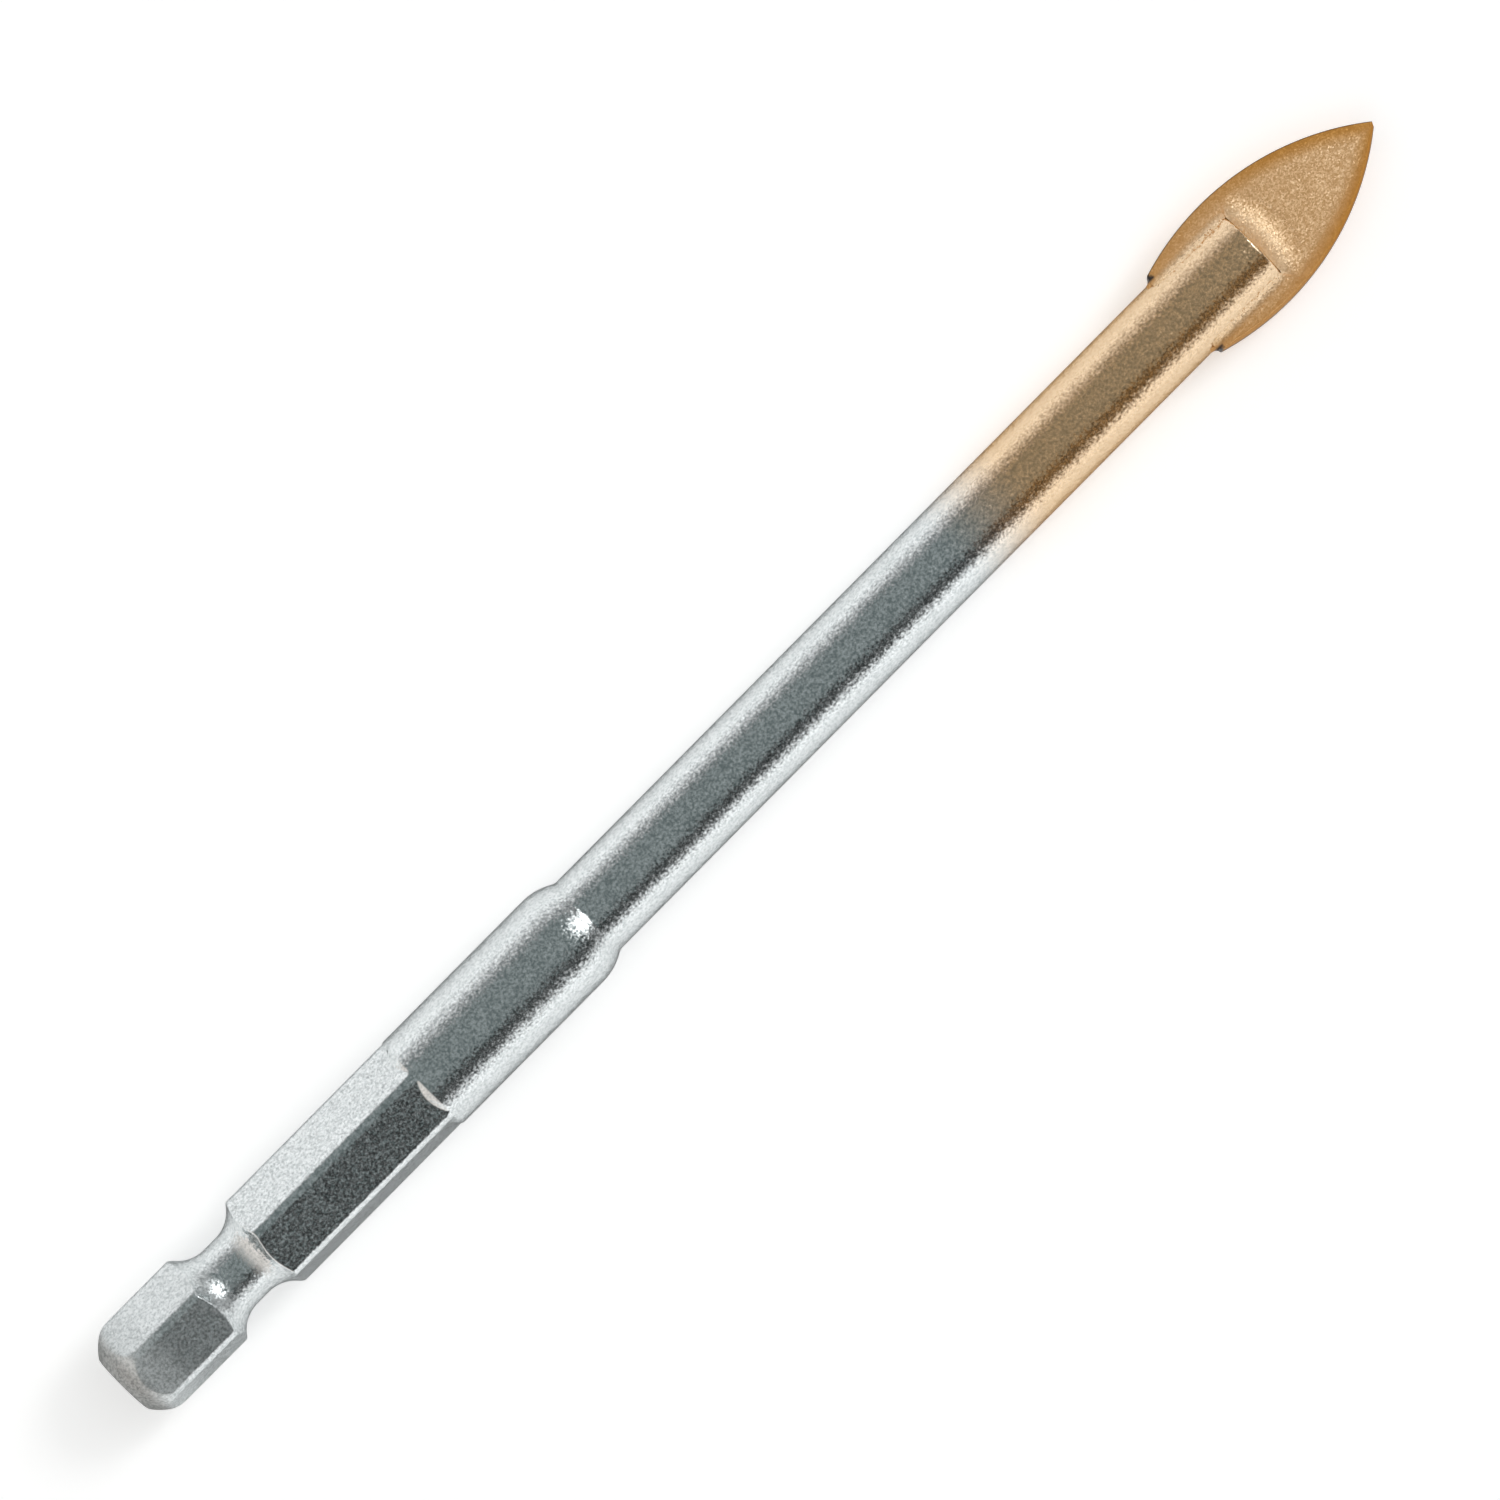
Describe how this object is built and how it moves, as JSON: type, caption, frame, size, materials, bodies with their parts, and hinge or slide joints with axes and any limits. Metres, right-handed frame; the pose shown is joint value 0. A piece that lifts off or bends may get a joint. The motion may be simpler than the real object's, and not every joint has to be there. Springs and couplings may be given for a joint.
{
  "type": "glass and tile drill bit",
  "caption": "Drill bit with a grooved quick-change hex shank, a collar, a long round shaft and a spear-shaped carbide tip brazed into its slotted end.",
  "frame": {"origin": "centre of the flat end face of the hex shank", "axes": "+X along the bit's axis towards its point, +Z square to the carbide plate's face, +Y across the plate"},
  "size_m": [0.1088, 0.008, 0.007],
  "materials": {
    "plated_steel": "fine blasted and plated silver grey, with a bronze coat that fades in on the front third of the shaft",
    "coated_carbide": "sparkling granular bronze coat",
    "coated_braze": "satin bronze coat over filler metal"
  },
  "bodies": {
    "root": {"steel_shank": "plated_steel", "carbide_tip": "coated_carbide", "braze_joint": "coated_braze"}
  },
  "joints": []
}
